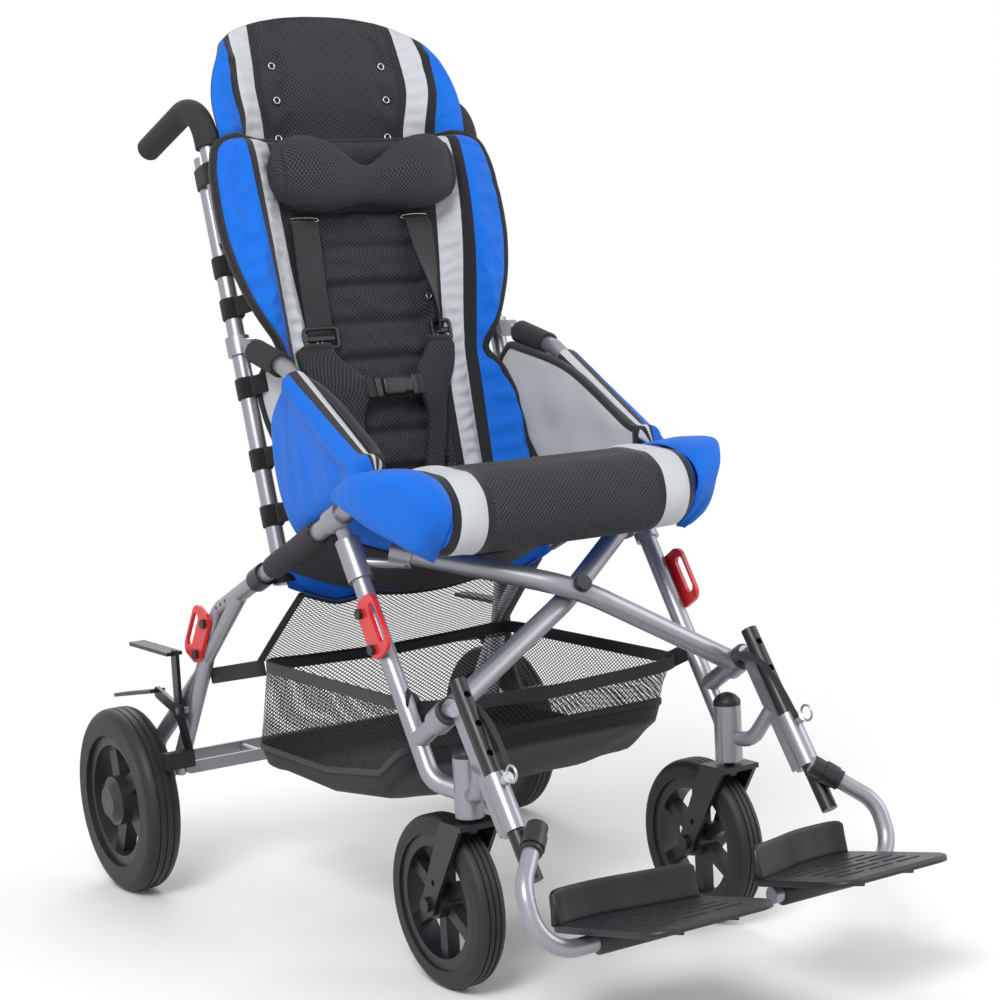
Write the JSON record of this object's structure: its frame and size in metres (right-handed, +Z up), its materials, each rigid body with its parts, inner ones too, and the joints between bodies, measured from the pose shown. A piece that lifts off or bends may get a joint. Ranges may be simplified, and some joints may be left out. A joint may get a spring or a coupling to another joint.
{
  "type": "special needs buggy",
  "caption": "Folding special needs buggy with silver tube frame, blue padded seat and back, headrest, harness, swivel casters, footrests, armrests and under-seat basket.",
  "frame": {"origin": "middle of the overall box, on the floor", "axes": "+Z up, the seat faces -Y, +X is the sitter's left"},
  "size_m": [0.662, 1.172, 1.1531],
  "materials": {
    "frame_silver": "satin",
    "black_metal": "satin",
    "bare_steel": "satin",
    "red_steel": "satin",
    "black_plastic": "matte",
    "grey_plastic": "matte",
    "tyre": "matte",
    "black_foam": "matte",
    "blue_cloth": "matte",
    "black_mesh": "matte",
    "black_webbing": "matte"
  },
  "bodies": {
    "left_frame": {"left_side_rail": "frame_silver", "left_front_frame": "frame_silver", "left_rail_bracket": "frame_silver", "left_fittings": "black_plastic", "left_tie_downs": "red_steel", "left_lanyard": "black_webbing", "left_back_cane": "frame_silver", "left_push_handle": "frame_silver", "left_handle_grip": "black_foam", "left_cane_bands": "black_webbing", "seat_sling": "black_mesh", "seat_pad": "blue_cloth", "back_pad": "blue_cloth", "head_pad": "blue_cloth", "headrest": "black_mesh", "harness": "black_webbing", "basket": "black_mesh"},
    "right_frame": {"right_side_rail": "frame_silver", "right_front_frame": "frame_silver", "right_rail_bracket": "frame_silver", "right_fittings": "black_plastic", "right_tie_downs": "red_steel", "right_lanyard": "black_webbing", "right_back_cane": "frame_silver", "right_push_handle": "frame_silver", "right_handle_grip": "black_foam", "right_cane_bands": "black_webbing"},
    "brace_a": {"brace_a": "frame_silver", "brace_bolt": "black_metal"},
    "brace_b": {"brace_b": "frame_silver"},
    "left_caster": {"left_caster_fork": "black_metal"},
    "left_front_wheel": {"left_front_wheel": "black_plastic", "left_front_tyre": "tyre"},
    "left_rear_wheel": {"left_rear_wheel": "grey_plastic", "left_rear_tyre": "tyre"},
    "left_brake": {"left_brake_lever": "black_metal"},
    "left_armrest": {"left_arm_tube": "frame_silver", "left_arm_grip": "black_foam", "left_arm_panel": "blue_cloth"},
    "left_slide": {"left_slide_tube": "black_metal"},
    "left_foot_arm": {"left_foot_arm": "frame_silver", "left_foot_collars": "black_plastic"},
    "left_footplate": {"left_footplate": "black_plastic"},
    "left_pull_pin": {"left_pull_pin": "bare_steel"},
    "left_spread_bars": {"left_spread_bars": "frame_silver"},
    "right_caster": {"right_caster_fork": "black_metal"},
    "right_front_wheel": {"right_front_wheel": "black_plastic", "right_front_tyre": "tyre"},
    "right_rear_wheel": {"right_rear_wheel": "grey_plastic", "right_rear_tyre": "tyre"},
    "right_brake": {"right_brake_lever": "black_metal"},
    "right_armrest": {"right_arm_tube": "frame_silver", "right_arm_grip": "black_foam", "right_arm_panel": "blue_cloth"},
    "right_slide": {"right_slide_tube": "black_metal"},
    "right_foot_arm": {"right_foot_arm": "frame_silver", "right_foot_collars": "black_plastic"},
    "right_footplate": {"right_footplate": "black_plastic"},
    "right_pull_pin": {"right_pull_pin": "bare_steel"},
    "right_spread_bars": {"right_spread_bars": "frame_silver"}
  },
  "joints": [
    {"name": "fold", "type": "hinge", "parent": "left_frame", "child": "brace_a", "pos_m": [0.208, -0.21829, 0.32223], "axis": [0, 0.8456, -0.5339], "range_deg": [0, 35], "deforming": ["seat_sling", "seat_pad", "back_pad", "head_pad", "headrest", "harness", "basket"]},
    {"name": "brace_cross", "type": "hinge", "parent": "brace_a", "child": "brace_b", "pos_m": [0, -0.17932, 0.42891], "axis": [0, 0.8456, -0.5339], "range_deg": [-70, 0]},
    {"name": "right_brace_pivot", "type": "hinge", "parent": "brace_b", "child": "right_frame", "pos_m": [-0.208, -0.21829, 0.32223], "axis": [0, 0.8456, -0.5339], "range_deg": [0, 35]},
    {"name": "left_caster_swivel", "type": "hinge", "parent": "left_frame", "child": "left_caster", "pos_m": [0.185, -0.227, 0.1], "axis": [0, 0, 1], "continuous": true},
    {"name": "left_front_wheel_roll", "type": "hinge", "parent": "left_caster", "child": "left_front_wheel", "pos_m": [0.185, -0.169, 0.1], "axis": [1, 0, 0], "continuous": true},
    {"name": "left_rear_wheel_roll", "type": "hinge", "parent": "left_frame", "child": "left_rear_wheel", "pos_m": [0.3, 0.462, 0.124], "axis": [1, 0, 0], "continuous": true},
    {"name": "left_brake_press", "type": "hinge", "parent": "left_frame", "child": "left_brake", "pos_m": [0.2382, 0.3666, 0.252], "axis": [1, 0, 0], "range_deg": [0, 5.5]},
    {"name": "left_armrest_lift", "type": "hinge", "parent": "left_frame", "child": "left_armrest", "pos_m": [0.195, 0.2166, 0.728], "axis": [-1, 0, 0], "range_deg": [0, 80]},
    {"name": "left_footrest_slide", "type": "slide", "parent": "left_frame", "child": "left_slide", "axis": [0, -0.5635, -0.8261], "range_m": [0, 0.1]},
    {"name": "left_pin_pull", "type": "slide", "parent": "left_frame", "child": "left_pull_pin", "axis": [0, -0.8261, 0.5635], "range_m": [0, 0.02]},
    {"name": "left_footrest_flip", "type": "hinge", "parent": "left_slide", "child": "left_foot_arm", "pos_m": [0.205, -0.38273, 0.21352], "axis": [-0.6337, 0.5618, 0.5318], "range_deg": [0, 95]},
    {"name": "left_footplate_tilt", "type": "hinge", "parent": "left_foot_arm", "child": "left_footplate", "pos_m": [0.12, -0.446, 0.115], "axis": [1, 0, 0], "range_deg": [-20, 10]},
    {"name": "left_spread_bar_rise", "type": "hinge", "parent": "left_frame", "child": "left_spread_bars", "pos_m": [0.24765, 0.40195, 0.17325], "axis": [0, 1, 0], "range_deg": [0, 53.77]},
    {"name": "right_caster_swivel", "type": "hinge", "parent": "right_frame", "child": "right_caster", "pos_m": [-0.185, -0.227, 0.1], "axis": [0, 0, 1], "continuous": true},
    {"name": "right_front_wheel_roll", "type": "hinge", "parent": "right_caster", "child": "right_front_wheel", "pos_m": [-0.185, -0.169, 0.1], "axis": [1, 0, 0], "continuous": true},
    {"name": "right_rear_wheel_roll", "type": "hinge", "parent": "right_frame", "child": "right_rear_wheel", "pos_m": [-0.3, 0.462, 0.124], "axis": [1, 0, 0], "continuous": true},
    {"name": "right_brake_press", "type": "hinge", "parent": "right_frame", "child": "right_brake", "pos_m": [-0.2382, 0.3666, 0.252], "axis": [1, 0, 0], "range_deg": [0, 5.5]},
    {"name": "right_armrest_lift", "type": "hinge", "parent": "right_frame", "child": "right_armrest", "pos_m": [-0.195, 0.2166, 0.728], "axis": [-1, 0, 0], "range_deg": [0, 80]},
    {"name": "right_footrest_slide", "type": "slide", "parent": "right_frame", "child": "right_slide", "axis": [0, -0.5635, -0.8261], "range_m": [0, 0.1]},
    {"name": "right_pin_pull", "type": "slide", "parent": "right_frame", "child": "right_pull_pin", "axis": [0, -0.8261, 0.5635], "range_m": [0, 0.02]},
    {"name": "right_footrest_flip", "type": "hinge", "parent": "right_slide", "child": "right_foot_arm", "pos_m": [-0.205, -0.38273, 0.21352], "axis": [0.6337, 0.5618, 0.5318], "range_deg": [-95, 0]},
    {"name": "right_footplate_tilt", "type": "hinge", "parent": "right_foot_arm", "child": "right_footplate", "pos_m": [-0.12, -0.446, 0.115], "axis": [1, 0, 0], "range_deg": [-20, 10]},
    {"name": "right_spread_bar_rise", "type": "hinge", "parent": "right_frame", "child": "right_spread_bars", "pos_m": [-0.24765, 0.40195, 0.17325], "axis": [0, 1, 0], "range_deg": [-53.77, 0]}
  ],
  "couplings": [
    {"joint": "brace_cross", "follows": "fold", "ratio": -2},
    {"joint": "right_brace_pivot", "follows": "fold", "ratio": 1},
    {"joint": "left_footrest_flip", "follows": "fold", "ratio": 2.7143},
    {"joint": "left_spread_bar_rise", "follows": "fold", "ratio": 1.5363},
    {"joint": "right_footrest_flip", "follows": "fold", "ratio": -2.7143},
    {"joint": "right_spread_bar_rise", "follows": "fold", "ratio": -1.5363}
  ]
}
